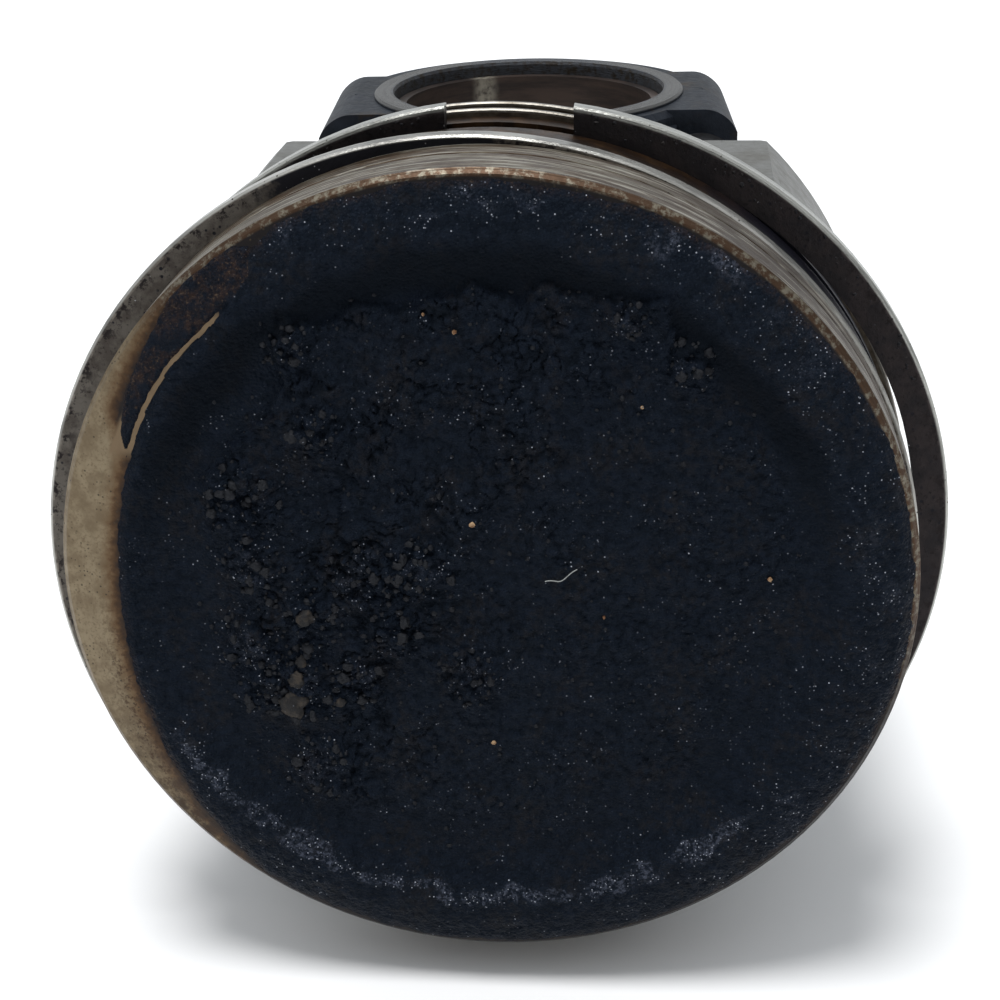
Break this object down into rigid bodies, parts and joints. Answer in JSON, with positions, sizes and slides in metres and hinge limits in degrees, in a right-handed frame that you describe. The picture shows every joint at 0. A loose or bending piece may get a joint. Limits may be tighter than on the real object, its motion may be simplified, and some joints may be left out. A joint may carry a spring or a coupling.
{
  "type": "piston and connecting rod",
  "caption": "Used slipper-skirt piston with sprung compression and oil rings, a floating gudgeon pin and a forged rod with a split, shell-lined big end.",
  "frame": {"origin": "centre of the big-end bore, half-way across the rod's width", "axes": "+Z along the big-end bore and the gudgeon pin, +Y away from the crown along the piston's axis, +X to the right seen on the crown"},
  "size_m": [0.0698, 0.1604, 0.0664],
  "materials": {
    "piston_aluminium": "turned, stained brown by burnt oil, carbon on the crown",
    "crown_carbon": "burnt-on carbon crust, wet with oil in places",
    "top_ring_iron": "polished running face, brown varnish on the sides",
    "second_ring_iron": "polished running face, black carbon on the sides",
    "rail_steel": "bright edge, oily brown sides",
    "expander_steel": "oil-stained strip",
    "pin_steel": "ground and polished",
    "spring_wire": "dark spring wire",
    "forged_steel": "dark forged skin, ground faces",
    "bronze": "oiled bronze",
    "bearing_metal": "worn grey bearing metal, oil-stained brown",
    "bolt_steel": "black oxide"
  },
  "bodies": {
    "rod": {"connecting_rod": "forged_steel", "small_end_bush": "bronze", "rod_cap": "forged_steel", "rod_bearing_shell": "bearing_metal", "cap_bearing_shell": "bearing_metal", "left_rod_bolt": "bolt_steel", "right_rod_bolt": "bolt_steel", "left_rod_nut": "bolt_steel", "right_rod_nut": "bolt_steel"},
    "piston": {"piston_body": "piston_aluminium", "upper_circlip": "spring_wire", "lower_circlip": "spring_wire"},
    "pin": {"gudgeon_pin": "pin_steel"},
    "top_ring": {"top_compression_ring": "top_ring_iron"},
    "second_ring": {"second_compression_ring": "second_ring_iron"},
    "upper_rail": {"upper_oil_rail": "rail_steel"},
    "expander": {"oil_ring_expander": "expander_steel"},
    "lower_rail": {"lower_oil_rail": "rail_steel"}
  },
  "joints": [
    {"name": "piston_swing", "type": "hinge", "parent": "rod", "child": "piston", "pos_m": [0.00627, -0.10882, 0], "axis": [0, 0, 1], "range_deg": [-31.7, 38.3]},
    {"name": "pin_turn", "type": "hinge", "parent": "piston", "child": "pin", "pos_m": [0.00627, -0.10882, 0], "axis": [0, 0, 1], "continuous": true},
    {"name": "top_ring_turn", "type": "hinge", "parent": "piston", "child": "top_ring", "pos_m": [0.00507, -0.12617, -0.00135], "axis": [0, 1, 0], "continuous": true},
    {"name": "second_ring_turn", "type": "hinge", "parent": "piston", "child": "second_ring", "pos_m": [0.00747, -0.12097, -0.0005], "axis": [0, 1, 0], "continuous": true},
    {"name": "upper_rail_turn", "type": "hinge", "parent": "piston", "child": "upper_rail", "pos_m": [0.00627, -0.11807, 0], "axis": [0, 1, 0], "continuous": true},
    {"name": "expander_turn", "type": "hinge", "parent": "piston", "child": "expander", "pos_m": [0.00627, -0.11692, 0], "axis": [0, 1, 0], "continuous": true},
    {"name": "lower_rail_turn", "type": "hinge", "parent": "piston", "child": "lower_rail", "pos_m": [0.00627, -0.11577, 0], "axis": [0, 1, 0], "continuous": true}
  ]
}
